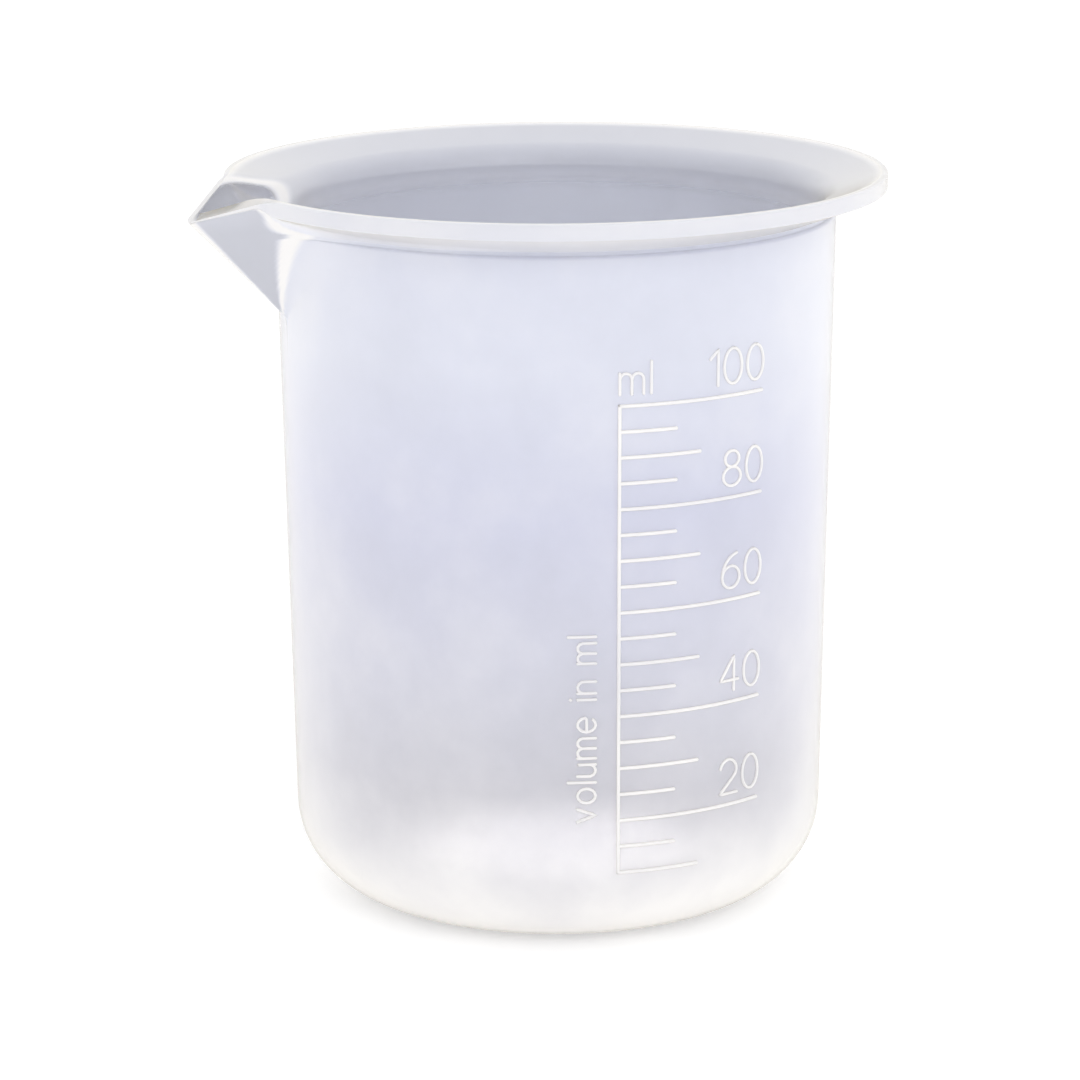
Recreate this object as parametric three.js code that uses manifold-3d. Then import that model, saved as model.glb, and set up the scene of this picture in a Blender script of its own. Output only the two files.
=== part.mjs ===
// A 100 ml laboratory beaker, moulded in one piece from milky polypropylene: hollow base on a foot
// ring, rounded heel, drafted wall, flared rim and a drawn-out pouring spout, with a raised volume scale.
// Millimetres, +Z up. The origin is on the axis, on the plane that the foot ring stands on.
// The spout points along -X. Angles round the axis are measured from the spout, positive towards -Y.
import * as THREE from "three";
import Module from "manifold-3d";

// Wall and base
const HEIGHT = 71.8;
const BODY_RADIUS = 26; // outside of the wall, carried down to the foot plane
const DRAFT_ANGLE = 1.08; // degrees that the wall leans outwards
const WALL = 1.45;
const FLOOR = 1.45;
const HEEL_RADIUS = 9; // outside round between wall and foot
const INNER_HEEL_RADIUS = 7.5;
const FOOT_WIDTH = 2.4; // flat of the ring that the beaker stands on
const RECESS = 1; // hollow under the base, inside the foot ring
const RECESS_SLOPE = 1.2; // run of the sloping edge of that hollow

// Rim
const RIM_RADIUS = 32.2;
const RIM_BAND = 1.5; // upright outer edge
const RIM_EDGE = 0.25; // broken corner on top of that edge
const LIP_WIDTH = 0.7; // top of the lip, from the outer edge to the start of the mouth
const FLARE_ANGLE = 20; // degrees that the flare rises outwards
const MOUTH_RADIUS = 2.5; // round from the inner wall into the flare
const GROOVE_DEPTH = 0.5; // step back of the wall under the flare
const GROOVE_HEIGHT = 0.4;

// Spout: two flat faces that meet in a rounded keel, under a lip that folds down towards its tip
const SPOUT_REACH = 4.1; // tip of the lip beyond the rim
const SPOUT_DEPTH = 13; // foot of the keel below the rim
const SPOUT_DROOP = 3.1; // tip of the lip below the rim
const SPOUT_FOLD = 1.5; // from the rim's edge in to the line where the lip folds down
const SPOUT_FACE_ANGLE = 46; // degrees that each face turns back from straight across
const SPOUT_BAND = 0.4; // upright edge of the lip on the spout
const SPOUT_WALL = 1.45;
const KEEL_RADIUS = 1.45; // at the tip, running out at the foot of the keel
const CHANNEL_RADIUS = 0.3; // at the bottom of the channel
const SPOUT_FILLET = 4.3; // depth of the blend from the outer faces into the rim
const FOOT_FILLET = 0.4; // the same at the foot of the keel
const CHANNEL_FILLET = 1.6; // depth of the blend from the inside into the channel
const ROOT_FILLET = 0.8; // depth of the blend where the lip leaves the rim
const FOLD_BLEND = 0.2; // share of the fold that is rounded

// Volume scale, in millilitres and millimetres
const FIRST_MARK_ML = 10;
const LAST_MARK_ML = 100;
const MARK_STEP_ML = 5;
const MEDIUM_EVERY_ML = 10;
const LONG_EVERY_ML = 20;
const SHORT_MARK = 5.9;
const MEDIUM_MARK = 8.4;
const LONG_MARK = 15.8;
const MARK_WIDTH = 0.35;
const MARK_RELIEF = 0.25;
const SCALE_ANGLE = 84.3; // degrees from the spout to the rule that the marks start from
const MM3_PER_ML = 1000;

// Facets
const HALF_COLUMNS = 44; // from the spout round to the back
const COLUMN_CROWDING = 1.5; // above 1, the columns stand closer together at the spout
const HEEL_STEPS = 8;
const MOUTH_STEPS = 4;
const SHOULDER_STEPS = 2;
const SPOUT_ROWS = 8;

const { degToRad: rad, lerp, mapLinear, smoothstep } = THREE.MathUtils;
const draft = Math.tan(rad(DRAFT_ANGLE));
const flare = Math.tan(rad(FLARE_ANGLE));
const floorLevel = RECESS + FLOOR;
const bandFoot = HEIGHT - RIM_BAND;
const lipRadius = RIM_RADIUS - LIP_WIDTH;
const keelFoot = HEIGHT - SPOUT_DEPTH;

const wallRadius = (z) => BODY_RADIUS + draft * z;
const innerRadius = (z) => wallRadius(z) - WALL;

// The wall ends in a shoulder and steps back to the neck, where the flare's underside starts.
const neck = wallRadius(HEIGHT) - GROOVE_DEPTH;
const grooveTop = bandFoot - (RIM_RADIUS - neck) * flare;
const shoulder = grooveTop - GROOVE_HEIGHT - GROOVE_DEPTH;

// A point at radius r and height z, at an angle from the spout.
const at = (r, angle, z) => new THREE.Vector3(-r * Math.cos(angle), -r * Math.sin(angle), z);

// Numbers spread evenly from one end to the other, both ends included.
const spread = (from, to, steps) =>
  Array.from({ length: steps + 1 }, (_, i) => lerp(from, to, i / steps));

// The larger of two radii, with the corner between them blended over a depth.
function blendedMax(a, b, depth) {
  const overlap = Math.max(depth - Math.abs(a - b), 0);
  return Math.max(a, b) + overlap ** 2 / (4 * depth);
}

// Points of an arc in the profile plane, between two angles in degrees from the outward direction.
function arc(r, z, radius, from, to, steps) {
  return spread(rad(from), rad(to), steps).map((turn) => ({
    r: r + radius * Math.cos(turn),
    z: z + radius * Math.sin(turn),
  }));
}

// The round at the foot of a wall, from the level it stands on up to the leaning wall.
function heelArc(radiusAt, level, radius) {
  const lean = rad(DRAFT_ANGLE);
  const touch = level + radius * (1 - Math.sin(lean));
  const centre = radiusAt(touch) - radius * Math.cos(lean);
  return arc(centre, level + radius, radius, -90, -DRAFT_ANGLE, HEEL_STEPS);
}

// The round from the flare down into the inner wall, tangent to both.
function mouthArc() {
  const cornerZ = (HEIGHT - (lipRadius - BODY_RADIUS + WALL) * flare) / (1 - draft * flare);
  const corner = new THREE.Vector2(innerRadius(cornerZ), cornerZ);
  const outwards = new THREE.Vector2(1, flare).normalize();
  const downwards = new THREE.Vector2(-draft, -1).normalize();
  const halfAngle = Math.acos(outwards.dot(downwards)) / 2;
  const bisector = outwards.add(downwards).normalize();
  const centre = corner.addScaledVector(bisector, MOUTH_RADIUS / Math.sin(halfAngle));
  return arc(centre.x, centre.y, MOUTH_RADIUS, 90 + FLARE_ANGLE, 180 - DRAFT_ANGLE, MOUTH_STEPS);
}

// Profile of the beaker away from the spout, from the hollow base up the outside to the rim.
function outsideProfile() {
  const heel = heelArc(wallRadius, 0, HEEL_RADIUS);
  const footInside = heel[0].r - FOOT_WIDTH;
  const shoulderRound = wallRadius(shoulder) - neck;
  const wall = spread(keelFoot, shoulder, SPOUT_ROWS).slice(0, -1);
  const flareMiddle = (neck + RIM_RADIUS) / 2;
  return [
    { r: footInside - RECESS_SLOPE, z: RECESS },
    { r: footInside, z: 0 },
    ...heel,
    ...wall.map((z) => ({ r: wallRadius(z), z })),
    ...arc(neck, shoulder, shoulderRound, 0, 90, SHOULDER_STEPS),
    { r: neck, z: grooveTop },
    { r: flareMiddle, z: bandFoot - (RIM_RADIUS - flareMiddle) * flare },
  ];
}

// Profile of the rim's edge, from the foot of an upright band of some height to the top of the lip.
function edgeProfile(band) {
  return [
    { r: RIM_RADIUS, z: HEIGHT - band },
    { r: RIM_RADIUS, z: HEIGHT - RIM_EDGE },
    { r: RIM_RADIUS - RIM_EDGE, z: HEIGHT },
  ];
}

// Profile of the inside, from the lip down to the floor.
function insideProfile() {
  const mouth = mouthArc();
  const flareMiddle = (lipRadius + mouth[0].r) / 2;
  const wall = spread(mouth[MOUTH_STEPS].z, keelFoot, SPOUT_ROWS).slice(1);
  return [
    { r: lipRadius, z: HEIGHT },
    { r: flareMiddle, z: HEIGHT - (lipRadius - flareMiddle) * flare },
    ...mouth,
    ...wall.map((z) => ({ r: innerRadius(z), z })),
    ...heelArc(innerRadius, floorLevel, INNER_HEEL_RADIUS).reverse(),
  ];
}

// The keel is a straight line from the wall to the underside of the tip. The faces would meet in a sharp
// ridge in front of it, and the round between them grows from nothing at the foot.
const faceAngle = rad(SPOUT_FACE_ANGLE);
const tip = { r: RIM_RADIUS + SPOUT_REACH, z: HEIGHT - SPOUT_BAND - SPOUT_DROOP };
const ridgeTop = tip.r + KEEL_RADIUS / Math.cos(faceAngle) - KEEL_RADIUS;
const ridgeSlope = (ridgeTop - wallRadius(keelFoot)) / (tip.z - keelFoot);
const ridgeRadius = (z) => wallRadius(keelFoot) + ridgeSlope * (z - keelFoot);
const keelRound = (z) => (KEEL_RADIUS * Math.max(z - keelFoot, 0)) / (tip.z - keelFoot);

// The channel's faces lie a wall's thickness behind the outer ones, measured along the spout.
const channelInset = SPOUT_WALL * Math.hypot(1, Math.tan(faceAngle), ridgeSlope);

// Radius of two faces that meet in a ridge at a radius, with the corner between them rounded.
// Past the angle where they come closest to the axis they turn away from the wall.
function facesRadius(angle, ridge, round) {
  const turn = Math.abs(angle);
  const centre = ridge - round / Math.cos(faceAngle);
  if (centre <= 0) return 0;
  const roundEnd = Math.atan2(round * Math.sin(faceAngle), centre + round * Math.cos(faceAngle));
  const aside = centre * Math.sin(turn);
  if (turn < roundEnd) return centre * Math.cos(turn) + Math.sqrt(round ** 2 - aside ** 2);
  const nearest = ridge * Math.cos(faceAngle);
  return turn < faceAngle ? nearest / Math.cos(faceAngle - turn) : nearest * Math.cos(turn - faceAngle);
}

// How far faces with an inset reach along the lip's fold, a slanting plane: 0 on the rim, 1 at the tip.
function folded(angle, inset) {
  const foldLine = RIM_RADIUS - SPOUT_FOLD;
  const fall = (ridgeSlope * SPOUT_DROOP) / (tip.r - foldLine);
  const back = Math.tan(faceAngle) * Math.tan(Math.min(Math.abs(angle), faceAngle));
  const reach = (ridgeTop - inset + fall * tip.r) / (1 + fall + back);
  return blendedMax((reach - foldLine) / (tip.r - foldLine), 0, FOLD_BLEND);
}

// Height of a row at an angle: the rows under the lip follow its fold.
function settled(z, angle, inset) {
  const share = Math.max((z - keelFoot) / SPOUT_DEPTH, 0);
  return z - SPOUT_DROOP * folded(angle, inset) * share ** 3;
}

const outerFaces = (angle, z) => facesRadius(angle, ridgeRadius(z), keelRound(z));

const outside = (row) => (angle) => {
  const z = settled(row.z, angle, 0);
  const fillet = mapLinear(Math.max(z, keelFoot), keelFoot, HEIGHT, FOOT_FILLET, SPOUT_FILLET);
  return at(blendedMax(row.r, outerFaces(angle, z), fillet), angle, z);
};

// The rim's upright band gets lower where the lip leaves the rim, and stands on the spout's faces.
const edge = (_, i) => (angle) => {
  const onSpout = smoothstep(folded(angle, 0), 0, FOLD_BLEND);
  const row = edgeProfile(lerp(RIM_BAND, SPOUT_BAND, onSpout));
  const faces = outerFaces(angle, settled(row[0].z, angle, 0));
  const push = blendedMax(RIM_RADIUS, faces, ROOT_FILLET) - RIM_RADIUS;
  return at(row[i].r + push, angle, settled(row[i].z, angle, 0));
};

const inside = (row) => (angle) => {
  const z = settled(row.z, angle, channelInset);
  const channel = facesRadius(angle, ridgeRadius(z) - channelInset, CHANNEL_RADIUS);
  return at(blendedMax(row.r, channel, CHANNEL_FILLET), angle, z);
};

// Angles of the facets' edges, all the way round and closer together at the spout.
const columns = Array.from({ length: 2 * HALF_COLUMNS }, (_, i) => {
  const share = i / HALF_COLUMNS - 1;
  return Math.sign(share) * Math.PI * Math.abs(share) ** COLUMN_CROWDING;
});

// A closed surface through rings of points, each as long as the next, closed by a point at each end.
function loft(rings, firstTip, lastTip) {
  const width = rings[0].length;
  const points = [...rings.flat(), firstTip, lastTip];
  const first = points.length - 2;
  const last = points.length - 1;
  const index = [];
  for (let i = 0; i < width; i++) {
    const next = (i + 1) % width;
    index.push(first, next, i);
    for (let row = 0; row < rings.length - 1; row++) {
      const [a, b] = [i, next].map((column) => row * width + column);
      const [c, d] = [b + width, a + width];
      const acrossIsShorter = points[a].distanceTo(points[c]) < points[b].distanceTo(points[d]);
      index.push(...(acrossIsShorter ? [a, b, c, a, c, d] : [a, b, d, b, c, d]));
    }
    const top = (rings.length - 1) * width;
    index.push(last, top + i, top + next);
  }
  return new THREE.BufferGeometry().setFromPoints(points).setIndex(index);
}

const outsideRows = outsideProfile();
const insideRows = insideProfile();

function bodyGeometry() {
  const rows = [
    ...outsideRows.map(outside),
    ...edgeProfile(RIM_BAND).map(edge),
    ...insideRows.map(inside),
  ];
  const rings = rows.map((place) => columns.map(place));
  return loft(rings, at(0, 0, RECESS), at(0, 0, floorLevel));
}

// Height to which a volume in millilitres fills the inside, from the cones between its rows.
function fillLevel(millilitres) {
  const rows = [...insideRows].reverse();
  let left = millilitres * MM3_PER_ML;
  for (let i = 0; i < rows.length - 1; i++) {
    const low = rows[i];
    const high = rows[i + 1];
    const rise = high.z - low.z;
    const volume = ((Math.PI * rise) / 3) * (low.r ** 2 + low.r * high.r + high.r ** 2);
    if (left <= volume) {
      const opening = (high.r - low.r) / rise;
      if (opening === 0) return low.z + left / (Math.PI * low.r ** 2);
      return low.z + (Math.cbrt(low.r ** 3 + (3 * opening * left) / Math.PI) - low.r) / opening;
    }
    left -= volume;
  }
  return HEIGHT;
}

// Radius of the outside's profile at a height above the foot, along the line between its rows.
function profileRadius(z) {
  const above = outsideRows.findIndex((row, i) => i > 1 && row.z >= z);
  const low = outsideRows[above - 1];
  const high = outsideRows[above];
  return mapLinear(z, low.z, high.z, low.r, high.r);
}

// A point over a facet of the wall: the facet is flat between two columns.
function onFacet(angle, r, z) {
  const after = columns.findIndex((column) => column > angle);
  const middle = (columns[after - 1] + columns[after]) / 2;
  const flat = Math.cos(columns[after] - middle) / Math.cos(angle - middle);
  return at(r * flat, angle, z);
}

const middleOf = (ring) =>
  ring.reduce((sum, point) => sum.add(point), new THREE.Vector3()).divideScalar(ring.length);

// Raised ribs seated on the wall's facets between two angles and two heights, one for each band of rows.
function ribs(fromAngle, toAngle, bottom, top) {
  const between = columns.filter((angle) => angle > fromAngle && angle < toAngle);
  const angles = [fromAngle, ...between, toAngle];
  const kinks = outsideRows.map((row) => row.z).filter((z) => z > bottom && z < top);
  const levels = [bottom, ...kinks, top];
  return levels.slice(1).map((high, i) => {
    const low = levels[i];
    const rings = angles.map((angle) => [
      onFacet(angle, profileRadius(low), low),
      onFacet(angle, profileRadius(high), high),
      onFacet(angle, profileRadius(high) + MARK_RELIEF, high),
      onFacet(angle, profileRadius(low) + MARK_RELIEF, low),
    ]);
    return loft(rings, middleOf(rings[0]), middleOf(rings[rings.length - 1]));
  });
}

// Length of the mark for a volume.
function markLength(millilitres) {
  if (millilitres % LONG_EVERY_ML === 0) return LONG_MARK;
  return millilitres % MEDIUM_EVERY_ML === 0 ? MEDIUM_MARK : SHORT_MARK;
}

// Joins closed geometries into one.
function joined(geometries) {
  const solids = geometries.map((geometry) => {
    const vertProperties = geometry.getAttribute("position").array;
    const triVerts = new Uint32Array(geometry.index.array);
    return new wasm.Manifold(new wasm.Mesh({ numProp: 3, vertProperties, triVerts }));
  });
  const mesh = solids.reduce((whole, solid) => whole.add(solid)).getMesh();
  return new THREE.BufferGeometry()
    .setAttribute("position", new THREE.BufferAttribute(mesh.vertProperties, 3))
    .setIndex(new THREE.BufferAttribute(mesh.triVerts, 1));
}

// The scale: an upright rule and a mark at each volume's level, as far up as the wall has room.
function scaleGeometry() {
  const start = rad(SCALE_ANGLE);
  const count = 1 + Math.floor((LAST_MARK_ML - FIRST_MARK_ML) / MARK_STEP_ML);
  const marks = Array.from({ length: count }, (_, i) => FIRST_MARK_ML + i * MARK_STEP_ML)
    .map((millilitres) => ({ level: fillLevel(millilitres), length: markLength(millilitres) }))
    .filter(({ level }) => level + MARK_WIDTH < shoulder);
  const markRibs = marks.flatMap(({ level, length }) => {
    const end = start + length / wallRadius(level);
    return ribs(start, end, level - MARK_WIDTH / 2, level + MARK_WIDTH / 2);
  });
  const ruleEnd = start + MARK_WIDTH / BODY_RADIUS;
  const ruleBottom = marks[0].level - MARK_WIDTH / 2;
  const ruleTop = marks[marks.length - 1].level + MARK_WIDTH / 2;
  return joined([...ribs(start, ruleEnd, ruleBottom, ruleTop), ...markRibs]);
}

const wasm = await Module();
wasm.setup();

const milkyPlastic = new THREE.MeshStandardMaterial({ color: 0xe2e6f0, roughness: 0.35, metalness: 0 });
const reliefPlastic = new THREE.MeshStandardMaterial({ color: 0xf4f5fa, roughness: 0.4, metalness: 0 });

function piece(name, geometry, material) {
  geometry.computeVertexNormals();
  const mesh = new THREE.Mesh(geometry, material);
  mesh.name = name;
  return mesh;
}

const beaker = new THREE.Group();
beaker.add(piece("beaker_body", bodyGeometry(), milkyPlastic));
beaker.add(piece("graduation_scale", scaleGeometry(), reliefPlastic));

export default beaker;
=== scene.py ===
import math

import bpy
from mathutils import Matrix, Vector


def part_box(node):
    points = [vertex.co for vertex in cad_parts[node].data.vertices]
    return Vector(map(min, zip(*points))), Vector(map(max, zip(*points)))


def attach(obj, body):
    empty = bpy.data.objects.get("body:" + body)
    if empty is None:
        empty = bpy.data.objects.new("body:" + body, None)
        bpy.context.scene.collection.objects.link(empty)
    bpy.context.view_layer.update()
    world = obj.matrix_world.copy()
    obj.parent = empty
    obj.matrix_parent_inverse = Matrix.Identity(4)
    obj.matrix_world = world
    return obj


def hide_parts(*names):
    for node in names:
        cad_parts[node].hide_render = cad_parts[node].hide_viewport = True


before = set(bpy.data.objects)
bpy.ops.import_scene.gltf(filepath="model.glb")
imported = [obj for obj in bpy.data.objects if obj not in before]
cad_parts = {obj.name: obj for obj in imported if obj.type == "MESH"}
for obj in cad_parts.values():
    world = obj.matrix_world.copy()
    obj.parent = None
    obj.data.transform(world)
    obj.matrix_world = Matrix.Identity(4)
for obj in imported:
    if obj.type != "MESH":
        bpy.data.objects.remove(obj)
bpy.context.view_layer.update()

BODY_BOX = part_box("beaker_body")
SLOT = "milky_polypropylene"
MM = 0.001

# The vessel: its height and rim come from the frame, the rest repeats the sizes of its solid
HEIGHT = BODY_BOX[1].z
RIM_RADIUS = BODY_BOX[1].x
BODY_RADIUS = 26 * MM
DRAFT_ANGLE = math.radians(1.08)
WALL = 1.45 * MM
FLOOR = 1.45 * MM
HEEL_RADIUS = 9 * MM
INNER_HEEL_RADIUS = 7.5 * MM
FOOT_WIDTH = 2.4 * MM
FOOT_ROUND = 0.4 * MM
RECESS = 1 * MM
RECESS_SLOPE = 1.2 * MM
RECESS_ROUND = 0.4 * MM
RIM_BAND = 1.5 * MM
RIM_ROUND = 0.25 * MM
BAND_ROUND = 0.15 * MM
LIP_WIDTH = 0.7 * MM
LIP_ROUND = 0.3 * MM
FLARE_ANGLE = math.radians(20)
MOUTH_RADIUS = 2.5 * MM
GROOVE_DEPTH = 0.5 * MM
GROOVE_HEIGHT = 0.4 * MM
GROOVE_ROUND = 0.12 * MM
SHOULDER_ROUND = 0.35 * MM

# The pouring spout: a keel with two flat faces, and a lip that folds down
SPOUT_REACH = 4.1 * MM
SPOUT_DEPTH = 13 * MM
SPOUT_DROOP = 3.1 * MM
SPOUT_FOLD = 1.5 * MM
FACE_ANGLE = math.radians(46)
SPOUT_BAND = 0.4 * MM
SPOUT_WALL = 1.45 * MM
KEEL_RADIUS = 1.45 * MM
CHANNEL_RADIUS = 0.3 * MM
SPOUT_FILLET = 4.3 * MM
FOOT_FILLET = 0.4 * MM
CHANNEL_FILLET = 1.6 * MM
ROOT_FILLET = 0.8 * MM
FOLD_BLEND = 0.2

# The volume scale, raised on the wall
FIRST_MARK_ML = 10
LAST_MARK_ML = 100
MARK_STEP_ML = 5
MEDIUM_EVERY_ML = 10
LONG_EVERY_ML = 20
SHORT_MARK = 5.9 * MM
MEDIUM_MARK = 8.4 * MM
LONG_MARK = 15.8 * MM
SCALE_ANGLE = math.radians(84.3)
ML = 1e-6
STROKE_RADIUS = 0.18 * MM
STROKE_SEAT = 0.06 * MM

# Figures and letters, drawn as single strokes on the wall
UNIT = "ml"
CAPTION = "volume in ml"
FIGURE_HEIGHT = 3.4 * MM
FIGURE_GAP = 0.7 * MM
FIGURE_RISE = 1.1 * MM
UNIT_HEIGHT = 3 * MM
UNIT_GAP = 0.75 * MM
LETTER_HEIGHT = 2.6 * MM
LETTER_GAP = 0.62 * MM
LETTER_BASELINE = -2 * MM
LETTER_FOOT = 13.8 * MM
FIGURE_RADIUS = 0.15 * MM

# Tones of the outline: the plastic looks white where it is thick, the heel is painted lighter as light
# from below, and inside the mouth lies painted shade
# The first tone is the white of thick plastic together with painted highlight and painted light, the
# second is painted shade, then clearness and the light coming up through
TONES = ("milk_and_painted_light", "shade", "clear", "glow")
MILKY_LIT_HEEL = 2 * MM  # up to this height the outside is fully white, as thick plastic and as painted light from below
CLEAR_WALL = 17 * MM  # and from this height on it isn't
MILKY_FLOOR = 3 * MM  # the same for the inside
CLEAR_INSIDE = 7 * MM
LIT_INSIDE = 15 * MM  # up to this height the inside has no painted shade
SHADED_INSIDE = 45 * MM
INSIDE_SHADE = 0.8
RIM_MILK = 0.6
RIM_GREY = 0.3
NECK_MILK = 0.6
NECK_BLEND = 2.5 * MM
FLARE_SHADE = 0.95
SHADED_LIP = 30.6 * MM  # up to this radius the flare has painted shade
WHITE_LIP = 31.5 * MM
RELIEF_MILK = 0.95

# Tones of the spout: the shares of a fillet's depth where the painted highlight and the painted shade
# start, outside and inside
FILLET_HIGHLIGHT = 0.4
FACE_SHADE = 0.85
RIDGE_WHITE_AND_HIGHLIGHT = -0.35
CHANNEL_SHADE = 0.45
TONE_BLEND = 0.2  # share over which a tone grows to its full strength
RIDGE_BLEND = 0.5  # the same inside
KEEL_WHITE_AND_HIGHLIGHT = 0.3  # the same across the keel
NO_FACE = -1.0  # a radius that never reaches the wall

# How finely the surfaces are stepped
COLUMNS = 301
COLUMN_CROWDING = 1.5
ARC_STEP = math.radians(5)
GLYPH_STEP = math.radians(15)
SPOUT_ROW = 0.28 * MM
WALL_ROW = 4 * MM
STROKE_STEP = 0.3 * MM
STROKE_SIDES = 10
MERGE_DISTANCE = 1e-7

OUTSIDE, EDGE, INSIDE = range(3)

draft = math.tan(DRAFT_ANGLE)
flare = math.tan(FLARE_ANGLE)
floor_level = RECESS + FLOOR
band_foot = HEIGHT - RIM_BAND
lip_radius = RIM_RADIUS - LIP_WIDTH
spout_foot = HEIGHT - SPOUT_DEPTH
spout_tail = spout_foot - 2 * FOOT_FILLET
tip_radius = RIM_RADIUS + SPOUT_REACH
tip_height = HEIGHT - SPOUT_BAND - SPOUT_DROOP


def wall_radius(z):
    return BODY_RADIUS + draft * z


def inner_radius(z):
    return wall_radius(z) - WALL


heel_start = BODY_RADIUS - HEEL_RADIUS / math.tan(math.pi / 4 + DRAFT_ANGLE / 2)
foot_inside = heel_start - FOOT_WIDTH
neck = wall_radius(HEIGHT) - GROOVE_DEPTH
groove_top = band_foot - (RIM_RADIUS - neck) * flare
groove_foot = groove_top - GROOVE_HEIGHT
ridge_foot = wall_radius(spout_foot)
ridge_top = tip_radius + KEEL_RADIUS / math.cos(FACE_ANGLE) - KEEL_RADIUS
ridge_slope = (ridge_top - ridge_foot) / (tip_height - spout_foot)
channel_inset = SPOUT_WALL * math.hypot(1, math.tan(FACE_ANGLE), ridge_slope)


# Number fields in node trees

class Field:
    """A number field of a node tree, written with ordinary arithmetic."""

    def __init__(self, tree, socket):
        self.tree = tree
        self.socket = socket

    def math(self, operation, *others):
        node = self.tree.nodes.new("ShaderNodeMath")
        node.operation = operation
        for socket, value in zip(node.inputs, (self, *others)):
            feed(self.tree, socket, value)
        return Field(self.tree, node.outputs[0])

    def __add__(self, other):
        return self.math("ADD", other)

    def __sub__(self, other):
        return self.math("SUBTRACT", other)

    def __mul__(self, other):
        return self.math("MULTIPLY", other)

    def __truediv__(self, other):
        return self.math("DIVIDE", other)

    def __pow__(self, other):
        return self.math("POWER", other)

    def __lt__(self, other):
        return self.math("LESS_THAN", other)

    def __gt__(self, other):
        return self.math("GREATER_THAN", other)

    def __abs__(self):
        return self.math("ABSOLUTE")

    def __neg__(self):
        return self * -1.0

    def __radd__(self, other):
        return self + other

    def __rsub__(self, other):
        return -self + other

    def __rmul__(self, other):
        return self * other


def cos(field):
    return field.math("COSINE")


def sin(field):
    return field.math("SINE")


def tan(field):
    return field.math("TANGENT")


def larger(a, b):
    return a.math("MAXIMUM", b)


def smaller(a, b):
    return a.math("MINIMUM", b)


def mixed(a, b, share):
    return a + (b - a) * share


def chosen(test, yes, no):
    return mixed(no, yes, test)


def blended_max(a, b, depth):
    """The larger of two fields, with a round of that depth where they meet."""
    overlap = larger(depth - abs(a - b), 0.0)
    return larger(a, b) + overlap * overlap / (depth * 4.0)


def smooth_share(value, end):
    """0 up to where the value is 0, 1 from end on, and a smooth way between."""
    share = smaller(larger(value / end, 0.0), 1.0)
    return share * share * (3.0 - share * 2.0)


def feed(tree, socket, value):
    """Links a field or a socket to an input, or sets the input's own value."""
    if isinstance(value, Field):
        value = value.socket
    if isinstance(value, bpy.types.NodeSocket):
        tree.links.new(value, socket)
    else:
        socket.default_value = value


def add_node(tree, kind, inputs=None, **settings):
    node = tree.nodes.new(kind)
    for name, value in settings.items():
        setattr(node, name, value)
    for name, value in (inputs or {}).items():
        feed(tree, node.inputs[name], value)
    return node


# Geometry trees

def new_tree(name, sizes):
    """A geometry tree with an input for each size, the geometry it gets and the sizes as fields."""
    tree = bpy.data.node_groups.new(name, "GeometryNodeTree")
    tree.interface.new_socket("Geometry", in_out="INPUT", socket_type="NodeSocketGeometry")
    for size in sizes:
        tree.interface.new_socket(size, in_out="INPUT", socket_type="NodeSocketFloat")
    tree.interface.new_socket("Geometry", in_out="OUTPUT", socket_type="NodeSocketGeometry")
    group = add_node(tree, "NodeGroupInput")
    fields = {size: Field(tree, group.outputs[size]) for size in sizes}
    return tree, group.outputs["Geometry"], fields


def end_tree(tree, geometry, material):
    """Shades the geometry smooth, makes it real, gives it its material and puts it out."""
    smooth = add_node(tree, "GeometryNodeSetShadeSmooth", {"Geometry": geometry})
    real = add_node(tree, "GeometryNodeRealizeInstances", {"Geometry": smooth.outputs[0]})
    finish = {"Geometry": real.outputs[0], "Material": material}
    dressed = add_node(tree, "GeometryNodeSetMaterial", finish)
    add_node(tree, "NodeGroupOutput", {"Geometry": dressed.outputs[0]})


def position_parts(tree):
    """The x and z of each point."""
    position = add_node(tree, "GeometryNodeInputPosition").outputs[0]
    parts = add_node(tree, "ShaderNodeSeparateXYZ", {"Vector": position})
    return Field(tree, parts.outputs["X"]), Field(tree, parts.outputs["Z"])


def moved_round(tree, geometry, radius, angle, height):
    """The geometry with each point put at that radius, angle from the spout and height."""
    place = {"X": -radius * cos(angle), "Y": -radius * sin(angle), "Z": height}
    position = add_node(tree, "ShaderNodeCombineXYZ", place).outputs[0]
    moved = add_node(tree, "GeometryNodeSetPosition", {"Geometry": geometry, "Position": position})
    return moved.outputs[0]


def toned(tree, geometry, values):
    """The geometry with its tones kept for the material."""
    for name in TONES:
        keep = {"Geometry": geometry, "Name": name, "Value": values[name]}
        geometry = add_node(tree, "GeometryNodeStoreNamedAttribute", keep, data_type="FLOAT").outputs[0]
    return geometry


def grown(name, seed, tree, sizes):
    """The plain mesh object that a tree grows from a seed mesh."""
    piece = bpy.data.objects.new(name, seed)
    bpy.context.scene.collection.objects.link(piece)
    modifier = piece.modifiers.new(tree.name, "NODES")
    modifier.node_group = tree
    for item in tree.interface.items_tree:
        if item.name in sizes:
            modifier[item.identifier] = sizes[item.name]
    evaluated = piece.evaluated_get(bpy.context.evaluated_depsgraph_get())
    mesh = bpy.data.meshes.new_from_object(evaluated)
    mesh.name = name
    piece.modifiers.clear()
    piece.data = mesh
    bpy.data.meshes.remove(seed)
    return piece


# The vessel's outline, from the middle of the underside round the rim to the middle of the floor

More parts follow.
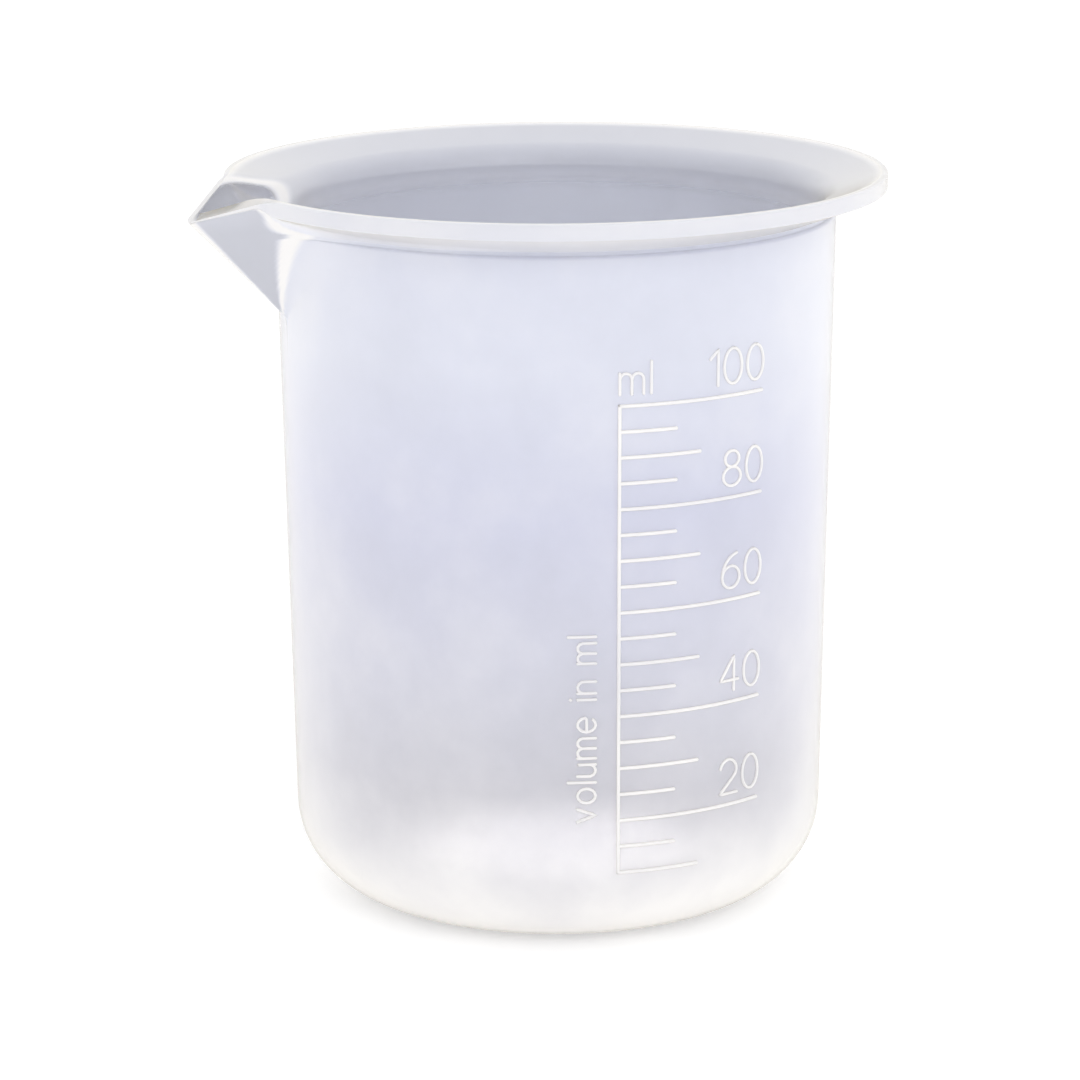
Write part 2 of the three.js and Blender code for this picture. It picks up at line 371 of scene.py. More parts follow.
def outline_corners():
    """Each corner as (point, radius of its round, surface that it lies on)."""
    mouth = (HEIGHT - (lip_radius - BODY_RADIUS + WALL) * flare) / (1 - draft * flare)
    corners = [
        (0, RECESS, 0, OUTSIDE),
        (foot_inside - RECESS_SLOPE, RECESS, RECESS_ROUND, OUTSIDE),
        (foot_inside, 0, FOOT_ROUND, OUTSIDE),
        (BODY_RADIUS, 0, HEEL_RADIUS, OUTSIDE),
        (wall_radius(spout_tail), spout_tail, 0, OUTSIDE),
        (ridge_foot, spout_foot, 0, OUTSIDE),
        (wall_radius(groove_foot), groove_foot, SHOULDER_ROUND, OUTSIDE),
        (neck, groove_foot, GROOVE_ROUND, OUTSIDE),
        (neck, groove_top, GROOVE_ROUND, OUTSIDE),
        (RIM_RADIUS, band_foot, BAND_ROUND, EDGE),
        (RIM_RADIUS, HEIGHT, RIM_ROUND, EDGE),
        (lip_radius, HEIGHT, LIP_ROUND, INSIDE),
        (inner_radius(mouth), mouth, MOUTH_RADIUS, INSIDE),
        (inner_radius(spout_foot), spout_foot, 0, INSIDE),
        (inner_radius(spout_tail), spout_tail, 0, INSIDE),
        (inner_radius(floor_level), floor_level, INNER_HEEL_RADIUS, INSIDE),
        (0, floor_level, 0, INSIDE),
    ]
    return [(Vector((r, z)), radius, surface) for r, z, radius, surface in corners]


def rounded(before, corner, after, radius):
    """The corner as an arc of that radius that touches both of its legs."""
    into = (before - corner).normalized()
    out = (after - corner).normalized()
    half = math.acos(into.dot(out)) / 2
    centre = corner + (into + out).normalized() * (radius / math.sin(half))
    reach = radius / math.tan(half)
    first = corner + into * reach - centre
    last = corner + out * reach - centre
    start = math.atan2(first.y, first.x)
    turn = math.remainder(math.atan2(last.y, last.x) - start, 2 * math.pi)
    count = math.ceil(abs(turn) / ARC_STEP)
    angles = [start + turn * i / count for i in range(count + 1)]
    return [centre + Vector((math.cos(angle), math.sin(angle))) * radius for angle in angles]


def outline_rows():
    """The outline as (point, surface), stepped finely enough for the spout."""
    corners = outline_corners()
    rows = []
    for i, (corner, radius, surface) in enumerate(corners):
        points = [corner]
        if radius:
            points = rounded(corners[i - 1][0], corner, corners[i + 1][0], radius)
        rows += [(point, surface) for point in points]
    fine = rows[:1]
    for (start, surface), (end, end_surface) in zip(rows, rows[1:]):
        step = SPOUT_ROW if min(start.y, end.y) > spout_foot - SPOUT_ROW else WALL_ROW
        count = math.ceil((end - start).length / step)
        fine += [(start.lerp(end, i / count), surface) for i in range(1, count)]
        fine.append((end, end_surface))
    return fine


def lift(point, surface):
    """How far a row follows the foot of the rim's band, which is higher on the spout: 0 to 1."""
    if surface == INSIDE:
        return 0
    if surface == EDGE:
        return (HEIGHT - point.y) / RIM_BAND
    return smooth_step(point.x, neck, RIM_RADIUS)


def smooth_step(value, start, end):
    """0 at start, 1 at end, and a smooth way between."""
    share = min(max((value - start) / (end - start), 0), 1)
    return share * share * (3 - 2 * share)


def tone(milk_and_painted_light=0.0, shade=0.0, clear=0.0, glow=0.0):
    """How white the plastic looks, partly as painted light, how much painted shade lies on it, how clear
    it is, and how much light comes up through it.
    """
    return dict(zip(TONES, (milk_and_painted_light, shade, clear, glow)))


def tones(point, surface):
    """The tone of the plastic at a point of the outline, with painted light on the heel and painted
    shade inside the mouth.
    """
    # The rim's edge is white as thick plastic, dulled with a share of the shaded colour
    if surface == EDGE:
        return tone(RIM_MILK, RIM_GREY)
    if surface == INSIDE:
        on_floor = 1 - smooth_step(point.y, MILKY_FLOOR, CLEAR_INSIDE)
        on_lip = smooth_step(point.x, SHADED_LIP, WHITE_LIP)
        on_neck = smooth_step(point.y, groove_foot - NECK_BLEND, groove_foot)
        milk_and_painted_light = max(on_floor, on_lip, NECK_MILK * on_neck)
        # Painted shade inside the mouth: it grows with height, is strongest on the neck and flare, and
        # leaves the white lip
        shade = INSIDE_SHADE * smooth_step(point.y, LIT_INSIDE, SHADED_INSIDE)
        shade = max(shade, FLARE_SHADE * on_neck) * (1 - on_lip)
        return tone(milk_and_painted_light, shade, clear=1 - max(on_floor, on_neck), glow=on_floor)
    if point.x < foot_inside:
        return tone(clear=1)
    # The heel is white as thick plastic, and painted lighter up the wall as light coming up from below
    on_heel = 1 - smooth_step(point.y, MILKY_LIT_HEEL, CLEAR_WALL)
    on_flange = RIM_MILK * smooth_step(point.x, wall_radius(HEIGHT), RIM_RADIUS)
    return tone(max(on_heel, on_flange))


def outline_mesh(rows):
    """The rows as a line of points that know their surface, their lift and their tone."""
    mesh = bpy.data.meshes.new("outline")
    vertices = [(point.x, 0, point.y) for point, surface in rows]
    edges = [(i, i + 1) for i in range(len(rows) - 1)]
    mesh.from_pydata(vertices, edges, [])
    columns = {
        "inside": [surface == INSIDE for point, surface in rows],
        "edge": [surface == EDGE for point, surface in rows],
        "lift": [lift(point, surface) for point, surface in rows],
    }
    for name in TONES:
        columns[name] = [tones(point, surface)[name] for point, surface in rows]
    for name, values in columns.items():
        mesh.attributes.new(name, "FLOAT", "POINT").data.foreach_set("value", values)
    return mesh


# The vessel: the outline goes round the axis, and the spout's faces push it out

VESSEL_SIZES = {
    "Columns": COLUMNS,
    "Crowding": COLUMN_CROWDING,
    "Height": HEIGHT,
    "Rim radius": RIM_RADIUS,
    "Rim band": RIM_BAND,
    "Spout band": SPOUT_BAND,
    "Spout depth": SPOUT_DEPTH,
    "Droop": SPOUT_DROOP,
    "Fold line": RIM_RADIUS - SPOUT_FOLD,
    "Fold blend": FOLD_BLEND,
    "Tip radius": tip_radius,
    "Ridge foot": ridge_foot,
    "Ridge top": ridge_top,
    "Ridge slope": ridge_slope,
    "Face angle": FACE_ANGLE,
    "Keel radius": KEEL_RADIUS,
    "Keel length": tip_height - spout_foot,
    "Channel inset": channel_inset,
    "Channel radius": CHANNEL_RADIUS,
    "Foot fillet": FOOT_FILLET,
    "Spout fillet": SPOUT_FILLET,
    "Root fillet": ROOT_FILLET,
    "Channel fillet": CHANNEL_FILLET,
    "Fillet highlight": FILLET_HIGHLIGHT,
    "Face shade": FACE_SHADE,
    "Ridge white and highlight": RIDGE_WHITE_AND_HIGHLIGHT,
    "Channel shade": CHANNEL_SHADE,
    "Keel white and highlight": KEEL_WHITE_AND_HIGHLIGHT,
    "Tone blend": TONE_BLEND,
    "Ridge blend": RIDGE_BLEND,
}


def vessel_tree(material):
    tree, outline, size = new_tree("Vessel drawn out to a spout", VESSEL_SIZES)
    counts = add_node(tree, "GeometryNodeAttributeDomainSize", {"Geometry": outline})
    rows = Field(tree, counts.outputs["Point Count"])
    columns = size["Columns"]
    grid = add_node(tree, "GeometryNodeMeshGrid", {"Vertices X": columns, "Vertices Y": rows})
    index = Field(tree, add_node(tree, "GeometryNodeInputIndex").outputs[0])
    column = (index / rows).math("FLOOR")
    row = index - column * rows
    share = column / (columns - 1.0) * 2.0 - 1.0
    angle = share.math("SIGN") * abs(share) ** size["Crowding"] * math.pi

    def of_row(value):
        """A field of the outline, read at each point's row."""
        sample = {"Geometry": outline, "Value": value, "Index": row}
        node = add_node(tree, "GeometryNodeSampleIndex", sample, data_type="FLOAT", domain="POINT")
        return Field(tree, node.outputs[0])

    def named(name):
        node = add_node(tree, "GeometryNodeInputNamedAttribute", {"Name": name}, data_type="FLOAT")
        return of_row(node.outputs["Attribute"])

    row_radius, row_height = map(of_row, position_parts(tree))
    radius, height, values = spout_rule(size, angle, row_radius, row_height, named)
    loft = moved_round(tree, grid.outputs["Mesh"], radius, angle, height)
    closed = {"Geometry": toned(tree, loft, values), "Distance": MERGE_DISTANCE}
    merged = add_node(tree, "GeometryNodeMergeByDistance", closed)
    end_tree(tree, merged.outputs[0], material)
    return tree


class Spout:
    """The spout as fields: two flat faces that meet in a rounded keel, under a lip that folds down."""

    def __init__(self, size, angle):
        self.size = size
        self.turn = abs(angle)
        self.face = size["Face angle"]
        self.foot = size["Height"] - size["Spout depth"]
        self.fold_reach = size["Tip radius"] - size["Fold line"]
        self.lip_fall = size["Ridge slope"] * size["Droop"] / self.fold_reach

    def faces(self, ridge, nose):
        """Radius of two flat faces that meet in a ridge rounded by the nose's radius."""
        turn, face = self.turn, self.face
        centre = ridge - nose / cos(face)
        nose_end = (nose * sin(face)).math("ARCTAN2", centre + nose * cos(face))
        aside = centre * sin(turn)
        on_nose = centre * cos(turn) + larger(nose * nose - aside * aside, 0.0).math("SQRT")
        nearest = ridge * cos(face)
        on_face = nearest / cos(face - smaller(turn, face))
        past_face = nearest * cos(turn - face)
        radius = chosen(turn < nose_end, on_nose, chosen(turn < face, on_face, past_face))
        return chosen(centre > 0.0, radius, NO_FACE)

    def ridge(self, height):
        """Radius of the sharp ridge in front of the keel."""
        return self.size["Ridge foot"] + self.size["Ridge slope"] * (height - self.foot)

    def keel(self, height):
        """Radius of the keel's round, which grows from nothing at its foot."""
        rise = larger(height - self.foot, 0.0)
        return self.size["Keel radius"] * rise / self.size["Keel length"]

    def outer_faces(self, height):
        return self.faces(self.ridge(height), self.keel(height))

    def folded(self, inset):
        """How far out on the folded lip the spout's edge lies: 0 at the fold, 1 at the tip."""
        size = self.size
        back = tan(self.face) * tan(smaller(self.turn, self.face))
        ahead = size["Ridge top"] - inset + self.lip_fall * size["Tip radius"]
        reach = ahead / (back + self.lip_fall + 1.0)
        return blended_max((reach - size["Fold line"]) / self.fold_reach, 0.0, size["Fold blend"])

    def settled(self, height, fold):
        """The height of a row, lowered under the lip to follow its fold."""
        rise = larger((height - self.foot) / self.size["Spout depth"], 0.0)
        return height - self.size["Droop"] * fold * rise**3.0

    def bent(self, reach, depth, white, grey, blend):
        """Painted highlight where a face bends into the wall, and painted shade where it is flat."""
        size = self.size
        share = reach / depth
        flat = smooth_share(share - size[grey], size[blend])
        return smooth_share(share - size[white], size[blend]) - flat, flat

    def outside(self, row_radius, row_height, follow, edge):
        """Radius, height, white and painted shade of the outside and of the rim's edge, the white on the
        spout partly painted highlight.
        """
        size = self.size
        fold = self.folded(0.0)
        on_spout = smooth_share(fold, size["Fold blend"])
        band = mixed(size["Rim band"], size["Spout band"], on_spout)
        height = self.settled(row_height + follow * (size["Rim band"] - band), fold)
        climb = larger(height - self.foot, 0.0) / size["Spout depth"]
        fillet = mixed(size["Foot fillet"], size["Spout fillet"], climb)
        fillet = mixed(fillet, size["Root fillet"], follow)
        faces = self.outer_faces(height)
        drawn = blended_max(row_radius, faces, fillet)
        band_faces = self.outer_faces(self.settled(size["Height"] - band, fold))
        rim = size["Rim radius"]
        push = blended_max(rim, band_faces, size["Root fillet"]) - rim
        radius = chosen(edge, row_radius + push, drawn)

        # Painted highlight on the fillet; the keel and the lip are white partly as thick plastic and
        # partly as painted highlight; painted shade on the flat face
        reach = faces - row_radius
        on_fillet, on_face = self.bent(reach, fillet, "Fillet highlight", "Face shade", "Tone blend")
        on_keel = smooth_share(1.0 - self.turn * radius / self.keel(height), size["Keel white and highlight"])
        on_keel = on_keel * smooth_share(climb, size["Tone blend"])
        on_lip = edge * on_spout
        milk_and_painted_light = larger(larger(on_fillet, on_keel) * (climb > 0.0), on_lip)
        shade = on_face * (1.0 - on_keel) * (1.0 - on_lip)
        return radius, height, milk_and_painted_light, shade

    def inside(self, row_radius, row_height):
        """Radius, height, white and painted shade of the inside with its channel, the ridge's white
        partly painted highlight.
        """
        size = self.size
        inset, fillet = size["Channel inset"], size["Channel fillet"]
        height = self.settled(row_height, self.folded(inset))
        channel = self.faces(self.ridge(height) - inset, size["Channel radius"])
        radius = blended_max(row_radius, channel, fillet)

        # White on the ridge, partly thick plastic and partly painted highlight, and painted shade in the
        # channel
        reach = channel - row_radius
        on_ridge, on_channel = self.bent(reach, fillet, "Ridge white and highlight", "Channel shade", "Ridge blend")
        return radius, height, on_ridge * (height > self.foot), on_channel


def spout_rule(size, angle, row_radius, row_height, named):
    """Radius, height and tones of each point: the outline's, or the spout's where it reaches further."""
    spout = Spout(size, angle)
    is_inside = named("inside")
    outside = spout.outside(row_radius, row_height, named("lift"), named("edge"))
    inside = spout.inside(row_radius, row_height)
    both = zip(inside, outside)
    radius, height, milk_and_painted_light, shade = (chosen(is_inside, inner, outer) for inner, outer in both)
    # The ridge's white and painted highlight take away the painted shade and the clearness there
    ridge_white_and_highlight, on_channel = (field * is_inside for field in inside[2:])
    values = {
        "milk_and_painted_light": larger(named("milk_and_painted_light"), milk_and_painted_light),
        "shade": larger(named("shade") * (1.0 - ridge_white_and_highlight), shade),
        "clear": larger(named("clear"), on_channel) * (1.0 - ridge_white_and_highlight),
        "glow": named("glow"),
    }
    return radius, height, values


def make_vessel(rows, material):
    return grown("vessel", outline_mesh(rows), vessel_tree(material), VESSEL_SIZES)


# Raised strokes: marks, figures and letters, drawn flat and laid round the wall

RELIEF_SIZES = {
    "Wall radius": BODY_RADIUS,
    "Draft": draft,
    "Start angle": SCALE_ANGLE,
    "Seat": STROKE_SEAT,
    "Stroke radius": STROKE_RADIUS,
    "Stroke sides": STROKE_SIDES,
    "Step": STROKE_STEP,
}
RELIEF_TONES = tone(RELIEF_MILK)


def relief_tree(material):
    tree, wires, size = new_tree("Strokes raised on the wall", RELIEF_SIZES)
    curves = add_node(tree, "GeometryNodeMeshToCurve", {"Mesh": wires}).outputs[0]
    stepping = {"Curve": curves, "Length": size["Step"]}
    fine = add_node(tree, "GeometryNodeResampleCurve", stepping, mode="LENGTH").outputs[0]
    along, height = position_parts(tree)
    radius = size["Wall radius"] + size["Draft"] * height
    angle = size["Start angle"] + along / radius
    strokes = moved_round(tree, fine, radius + size["Seat"], angle, height)
    circle = {"Resolution": size["Stroke sides"], "Radius": size["Stroke radius"]}
    section = add_node(tree, "GeometryNodeCurvePrimitiveCircle", circle).outputs[0]
    sweep = {"Curve": strokes, "Profile Curve": section}
    tubes = add_node(tree, "GeometryNodeCurveToMesh", sweep).outputs[0]
    ball = {
        "Segments": size["Stroke sides"],
        "Rings": size["Stroke sides"] / 2.0,
        "Radius": size["Stroke radius"],
    }
    cap = add_node(tree, "GeometryNodeMeshUVSphere", ball).outputs["Mesh"]
    ends = add_node(tree, "GeometryNodeCurveEndpointSelection").outputs[0]
    capping = {"Points": strokes, "Selection": ends, "Instance": cap}
    caps = add_node(tree, "GeometryNodeInstanceOnPoints", capping).outputs[0]
    joined = add_node(tree, "GeometryNodeJoinGeometry")
    tree.links.new(tubes, joined.inputs[0])
    tree.links.new(caps, joined.inputs[0])
    end_tree(tree, toned(tree, joined.outputs[0], RELIEF_TONES), material)
    return tree


def wire_mesh(name, strokes):
    """Flat strokes as chains of edges, with x along the wall and z up it."""
    vertices = []
    edges = []
    for stroke in strokes:
        first = len(vertices)
        vertices += [(x, 0, z) for x, z in stroke]
        edges += [(first + i, first + i + 1) for i in range(len(stroke) - 1)]
    mesh = bpy.data.meshes.new(name)
    mesh.from_pydata(vertices, edges, [])
    return mesh


def fill_level(rows, millilitres):
    """Height that this volume fills the vessel to, found on the inside of its outline."""
    inner = [point for point, surface in reversed(rows) if surface == INSIDE]
    left = millilitres * ML
    for low, high in zip(inner, inner[1:]):
        cone = math.pi / 3 * (low.x**2 + low.x * high.x + high.x**2) * (high.y - low.y)
        if left < cone:
            return low.y + (high.y - low.y) * left / cone
        left -= cone
    return HEIGHT


def mark_length(millilitres):
    if millilitres % LONG_EVERY_ML == 0:
        return LONG_MARK
    return SHORT_MARK if millilitres % MEDIUM_EVERY_ML else MEDIUM_MARK


def scale_strokes(rows):
    """The upright rule and the marks to its right."""
    volumes = range(FIRST_MARK_ML, LAST_MARK_ML + 1, MARK_STEP_ML)
    levels = {volume: fill_level(rows, volume) for volume in volumes}
    rule = STROKE_RADIUS
    strokes = [[(rule, levels[FIRST_MARK_ML]), (rule, levels[LAST_MARK_ML])]]
    for volume, level in levels.items():
        strokes.append([(rule, level), (mark_length(volume) - STROKE_RADIUS, level)])
    return strokes


# Single-stroke figures and letters: widths and points as shares of the height of a figure

def bow(x, y, across, up, start, end):
    """Points on an ellipse, from one angle to another in degrees."""
    start, end = math.radians(start), math.radians(end)
    count = math.ceil(abs(end - start) / GLYPH_STEP)
    angles = [start + (end - start) * i / count for i in range(count + 1)]
    return [(x + across * math.cos(a), y + up * math.sin(a)) for a in angles]


X_HEIGHT = 0.66


def arch(x, width):
    """The arch of an n, with its leg, from the stem at x."""
    half = width / 2
    return bow(x + half, X_HEIGHT - half, half, half, 180, 0) + [(x + width, 0)]


def ring(width, height):
    return bow(width / 2, height / 2, width / 2, height / 2, 90, 450)


GLYPHS = {
    "0": (0.62, [ring(0.62, 1)]),
    "1": (0.26, [[(0, 0.76), (0.26, 1), (0.26, 0)]]),
    "2": (0.62, [bow(0.31, 0.7, 0.29, 0.3, 170, -35) + [(0, 0), (0.62, 0)]]),
    "4": (0.64, [[(0.48, 0), (0.48, 1), (0, 0.3), (0.64, 0.3)]]),
    "6": (0.62, [bow(0.31, 0.32, 0.31, 0.32, 180, 540), bow(0.62, 0.32, 0.62, 0.68, 180, 100)]),
    "8": (0.62, [bow(0.31, 0.77, 0.25, 0.23, -90, 270), bow(0.31, 0.27, 0.31, 0.27, 90, 450)]),
    "m": (0.76, [[(0, 0), (0, X_HEIGHT)], arch(0, 0.38), arch(0.38, 0.38)]),
    "l": (0, [[(0, 0), (0, 1)]]),
    "v": (0.48, [[(0, X_HEIGHT), (0.24, 0), (0.48, X_HEIGHT)]]),
    "o": (0.54, [ring(0.54, X_HEIGHT)]),
    "u": (
        0.44,
        [[(0, X_HEIGHT)] + bow(0.22, 0.22, 0.22, 0.22, 180, 360) + [(0.44, X_HEIGHT), (0.44, 0)]],
    ),
    "e": (0.54, [[(0, 0.33)] + bow(0.27, 0.33, 0.27, 0.33, 0, 315)]),
    "i": (0, [[(0, 0), (0, X_HEIGHT)], [(0, 0.9), (0, 0.92)]]),
    "n": (0.44, [[(0, 0), (0, X_HEIGHT)], arch(0, 0.44)]),
    " ": (0.2, []),
}


def written(text, height, gap):
    """The strokes of a text on a level baseline that starts at 0, and the text's width."""
    strokes = []
    cursor = 0
    for letter in text:
        width, shapes = GLYPHS[letter]
        for shape in shapes:
            strokes.append([(cursor + x * height, y * height) for x, y in shape])
        cursor += width * height + gap
    return strokes, cursor - gap


def shifted(strokes, x, z):
    return [[(x + a, z + b) for a, b in stroke] for stroke in strokes]


def turned_up(strokes):
    """The strokes turned to read upwards."""
    return [[(-b, a) for a, b in stroke] for stroke in strokes]


def figure_strokes(rows):
    """The volumes over the long marks, the unit beside the last one, and a caption up the wall."""
    strokes = []
    for volume in range(LONG_EVERY_ML, LAST_MARK_ML + 1, LONG_EVERY_ML):
        figures, width = written(str(volume), FIGURE_HEIGHT, FIGURE_GAP)
        strokes += shifted(figures, LONG_MARK - width, fill_level(rows, volume) + FIGURE_RISE)
    unit, _ = written(UNIT, UNIT_HEIGHT, UNIT_GAP)
    strokes += shifted(unit, STROKE_RADIUS, fill_level(rows, LAST_MARK_ML) + FIGURE_RISE)
    caption, _ = written(CAPTION, LETTER_HEIGHT, LETTER_GAP)
    strokes += shifted(turned_up(caption), LETTER_BASELINE, LETTER_FOOT)
    return strokes


def make_relief(name, strokes, radius, material):
    sizes = RELIEF_SIZES | {"Stroke radius": radius}
    return grown(name, wire_mesh(name, strokes), relief_tree(material), sizes)


# Material

# Colours of the thin wall from low to high: lighter and bluer towards the top, partly the plastic's own
# blue tint and partly painted light
HIGH_COLOUR = (0.86, 0.88, 0.985, 1)
MIDDLE_COLOUR = (0.765, 0.78, 0.925, 1)
LOW_COLOUR = (0.77, 0.768, 0.84, 1)
THICK_COLOUR = (0.945, 0.93, 0.925, 1)
CLEAR_COLOUR = (0.96, 0.97, 0.98, 1)
SHADED_COLOUR = (0.62, 0.635, 0.71, 1)
LOW_END = 15 * MM  # up to this height the wall has its low colour
MIDDLE_HEIGHT = 43 * MM
HIGH_START = 57 * MM
LOW_DENSITY = 0.7
MIDDLE_DENSITY = 0.3  # added on the way to the middle
HIGH_DENSITY = 0.15  # added on the way from there to the top
MILK_BLOCK = 0.9  # share of the light that white plastic holds back
CLEAR_LIGHT = 0.95
LIMB_WIDTH = 0.52
EDGE_WIDTH = 0.14
EDGE_LIGHT = 0.7
CLOUD_SIZE = 12 * MM
CLOUD_DETAIL = 5
CLOUD_SHARE = 0.9
FINE_DETAIL = 2
SATIN_SIZE = 5 * MM
SATIN_ROUGHNESS = 0.12
SATIN_SPREAD = 0.16
SKIN_SIZE = 1.2 * MM
SKIN_DEPTH = 0.03 * MM
SKIN_STRENGTH = 0.2
WALL_GLOW = 0.1
FLOOR_GLOW = 0.5
FINISH = {
    "IOR": 1.49,
    "Coat Weight": 0.3,
    "Coat Roughness": 0.15,
    "Sheen Weight": 0.35,
    "Sheen Roughness": 0.5,
    "Sheen Tint": (0.95, 0.87, 0.65, 1),
}
MIX_FIRST, MIX_SECOND, MIX_RESULT = 6, 7, 2  # sockets of a colour mix, which share their names


def new_material(name):
    """A material with nodes, its tree and its shader."""
    material = bpy.data.materials.new(name)
    material.use_nodes = True
    return material, material.node_tree, material.node_tree.nodes["Principled BSDF"]


def feed_all(tree, node, values):
    for name, value in values.items():
        feed(tree, node.inputs[name], value)


def noise_field(tree, place, size, detail):
    """Random values from 0 to 1 that change over that size."""
    settings = {"Vector": place, "Scale": 1 / size, "Detail": detail}
    return Field(tree, add_node(tree, "ShaderNodeTexNoise", settings).outputs["Fac"])


def height_share(tree, height, start, end):
    """0 up to one height, 1 from another on, and a straight way between."""
    limits = {"Value": height, "From Min": start, "From Max": end}
    return Field(tree, add_node(tree, "ShaderNodeMapRange", limits).outputs[0])


def tone_field(tree, name):
    tone_node = add_node(tree, "ShaderNodeAttribute", attribute_name=name)
    return Field(tree, tone_node.outputs["Fac"])


def near_limb(facing, width):
    """1 where the surface is seen edge on, and less the more it faces the camera."""
    return (((1.0 - facing) / width) ** 2.0 * -1.0).math("EXPONENT")


def blended(tree, share, first, second):
    """A colour between two, each a plain colour or a socket."""
    node = add_node(tree, "ShaderNodeMix", {"Factor": share}, data_type="RGBA")
    feed(tree, node.inputs[MIX_FIRST], first)
    feed(tree, node.inputs[MIX_SECOND], second)
    return node.outputs[MIX_RESULT]


def milky_plastic():
    material, tree, shader = new_material(SLOT)
    place = add_node(tree, "ShaderNodeTexCoord").outputs["Object"]
    height = add_node(tree, "ShaderNodeSeparateXYZ", {"Vector": place}).outputs["Z"]
    rise = height_share(tree, height, LOW_END, MIDDLE_HEIGHT)
    top = height_share(tree, height, MIDDLE_HEIGHT, HIGH_START)
    milk_and_painted_light, shade, clear, glow = (tone_field(tree, name) for name in TONES)
    clouds = noise_field(tree, place, CLOUD_SIZE, CLOUD_DETAIL)
    milk_and_painted_light = milk_and_painted_light + (clouds - 0.5) * CLOUD_SHARE
    # The thin wall's colour, painted lighter and bluer towards the top
    thin_with_painted_light = blended(tree, rise, LOW_COLOUR, MIDDLE_COLOUR)
    thin_with_painted_light = blended(tree, top, thin_with_painted_light, HIGH_COLOUR)
    thin_with_painted_light = blended(tree, clear, thin_with_painted_light, CLEAR_COLOUR)
    # White where the plastic is thick or painted with light, and the shaded colour where painted shade
    # lies
    colour = blended(tree, shade, blended(tree, milk_and_painted_light, thin_with_painted_light, THICK_COLOUR), SHADED_COLOUR)

    weight = add_node(tree, "ShaderNodeLayerWeight", {"Blend": 0.5})
    facing = Field(tree, weight.outputs["Facing"])
    density = rise * MIDDLE_DENSITY + top * HIGH_DENSITY + LOW_DENSITY
    wall_light = (density * -1.0).math("EXPONENT") * (1.0 - near_limb(facing, LIMB_WIDTH))
    wall_light = wall_light * (1.0 - milk_and_painted_light * MILK_BLOCK) + near_limb(facing, EDGE_WIDTH) * EDGE_LIGHT
    satin = noise_field(tree, place, SATIN_SIZE, FINE_DETAIL)
    skin = noise_field(tree, place, SKIN_SIZE, FINE_DETAIL)
    relief = {"Strength": SKIN_STRENGTH, "Distance": SKIN_DEPTH, "Height": skin}
    look = {
        "Base Color": colour,
        "Transmission Weight": mixed(wall_light, CLEAR_LIGHT, clear),
        "Roughness": satin * SATIN_SPREAD + SATIN_ROUGHNESS,
        "Normal": add_node(tree, "ShaderNodeBump", relief).outputs[0],
    }
    feed_all(tree, shader, look | FINISH)

    through = add_node(tree, "ShaderNodeBsdfTranslucent", {"Color": colour})
    share = (glow * FLOOR_GLOW + WALL_GLOW) * (1.0 - clear)
    mix = tree.nodes.new("ShaderNodeMixShader")
    for socket, value in zip(mix.inputs, (share, shader.outputs[0], through.outputs[0])):
        feed(tree, socket, value)
    tree.links.new(mix.outputs[0], tree.nodes["Material Output"].inputs["Surface"])
    return material


# Stage: floor, light and camera

GROUND_REACH = 3
GROUND_FINISH = {
    "Base Color": (0.82, 0.82, 0.82, 1),
    "Roughness": 0.9,
    "Emission Color": (1, 1, 1, 1),
    "Emission Strength": 0.24,
}
SKY = {"Color": (1, 1, 1, 1), "Strength": 1.08}
SOFTBOX = {"place": (0.2, -1, 0.55), "aim": (0, 0, 0.03), "size": 0.8, "energy": 1.2}
LIGHT_TABLE = {
    "place": (0, 0, 0.0002),
    "aim": (0, 0, 1),
    "size": 0.028,
    "energy": 0.0055,
    "shape": "DISK",
    "colour": (1, 0.96, 0.93),
}
LENS = 139.56  # of the camera, and the width of its sensor, in mm
SENSOR_WIDTH = 36
CAMERA_PLACE = (-0.12283, -0.38395, 0.13490)
CAMERA_TURN = math.radians(-17.5)
CAMERA_TILT = math.radians(76.042)
CAMERA_ROLL = math.radians(-0.298)


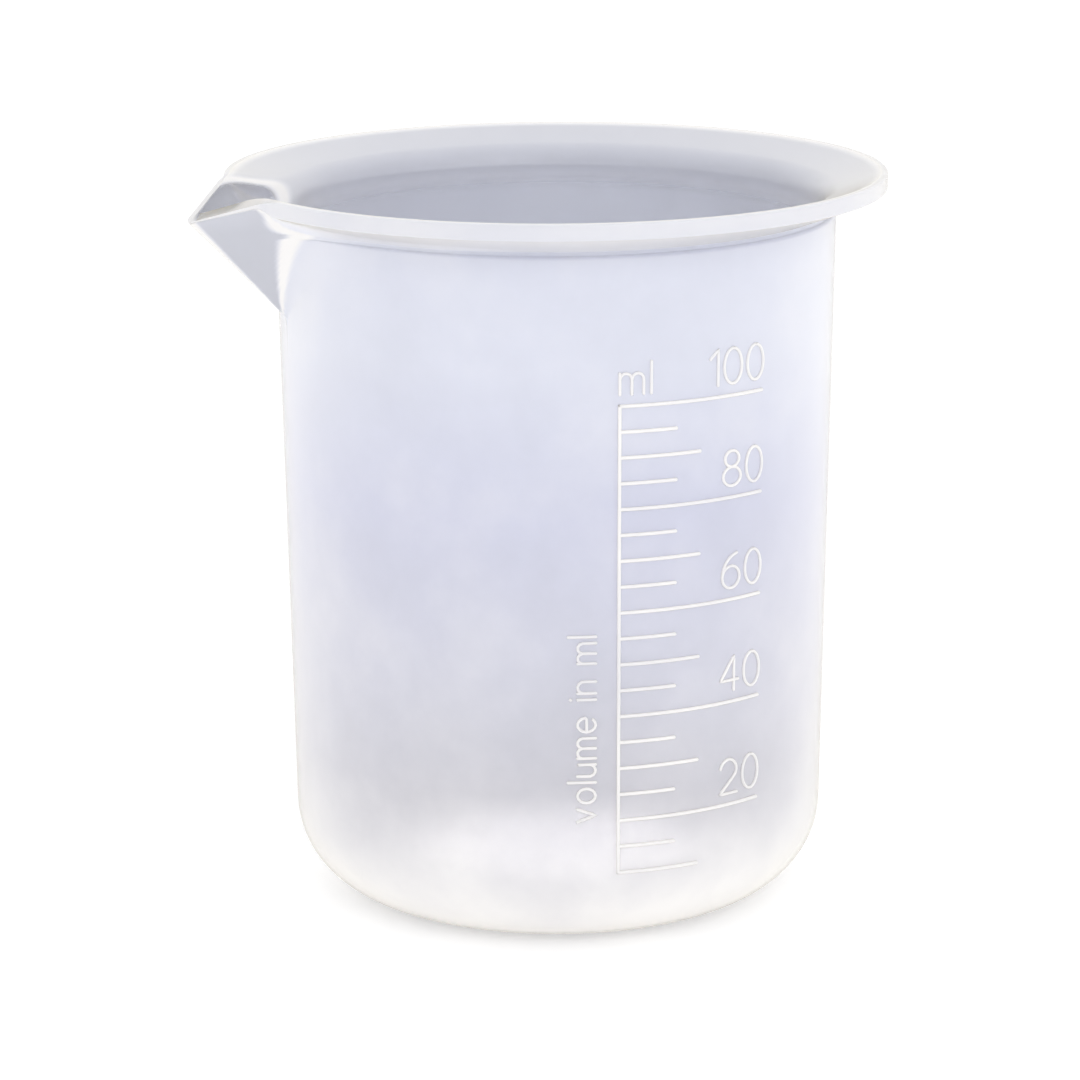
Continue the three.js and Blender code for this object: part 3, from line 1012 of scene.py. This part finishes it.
def make_floor():
    mesh = bpy.data.meshes.new("floor")
    reach = GROUND_REACH
    corners = [(-reach, -reach, 0), (reach, -reach, 0), (reach, reach, 0), (-reach, reach, 0)]
    mesh.from_pydata(corners, [], [(0, 1, 2, 3)])
    floor = bpy.data.objects.new("floor", mesh)
    bpy.context.scene.collection.objects.link(floor)
    material, tree, shader = new_material("pale_floor")
    feed_all(tree, shader, GROUND_FINISH)
    mesh.materials.append(material)


def make_light():
    world = bpy.data.worlds.new("studio")
    bpy.context.scene.world = world
    world.use_nodes = True
    feed_all(world.node_tree, world.node_tree.nodes["Background"], SKY)
    add_lamp("softbox", **SOFTBOX)
    add_lamp("light_table", **LIGHT_TABLE)


def add_lamp(name, place, aim, size, energy, shape="SQUARE", colour=(1, 1, 1)):
    light = bpy.data.lights.new(name, "AREA")
    light.shape = shape
    light.size = size
    light.energy = energy
    light.color = colour
    lamp = bpy.data.objects.new(name, light)
    lamp.location = place
    lamp.rotation_euler = (Vector(aim) - lamp.location).to_track_quat("-Z", "Y").to_euler()
    bpy.context.scene.collection.objects.link(lamp)


def make_camera():
    data = bpy.data.cameras.new("camera")
    data.lens = LENS
    data.sensor_width = SENSOR_WIDTH
    data.sensor_fit = "HORIZONTAL"
    camera = bpy.data.objects.new("camera", data)
    turn = Matrix.Rotation(CAMERA_TURN, 4, "Z")
    tilt = Matrix.Rotation(CAMERA_TILT, 4, "X")
    roll = Matrix.Rotation(CAMERA_ROLL, 4, "Z")
    place = Matrix.Translation(CAMERA_PLACE)
    camera.matrix_world = place @ turn @ tilt @ roll
    bpy.context.scene.collection.objects.link(camera)
    bpy.context.scene.camera = camera


def main():
    rows = outline_rows()
    plastic = milky_plastic()
    vessel = make_vessel(rows, plastic)
    scale = make_relief("scale", scale_strokes(rows), STROKE_RADIUS, plastic)
    figures = make_relief("scale_figures", figure_strokes(rows), FIGURE_RADIUS, plastic)
    for piece in (vessel, scale, figures):
        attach(piece, "root")
    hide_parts("beaker_body")
    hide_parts("graduation_scale")
    make_floor()
    make_light()
    make_camera()
    bpy.context.scene.view_settings.view_transform = "Standard"


main()
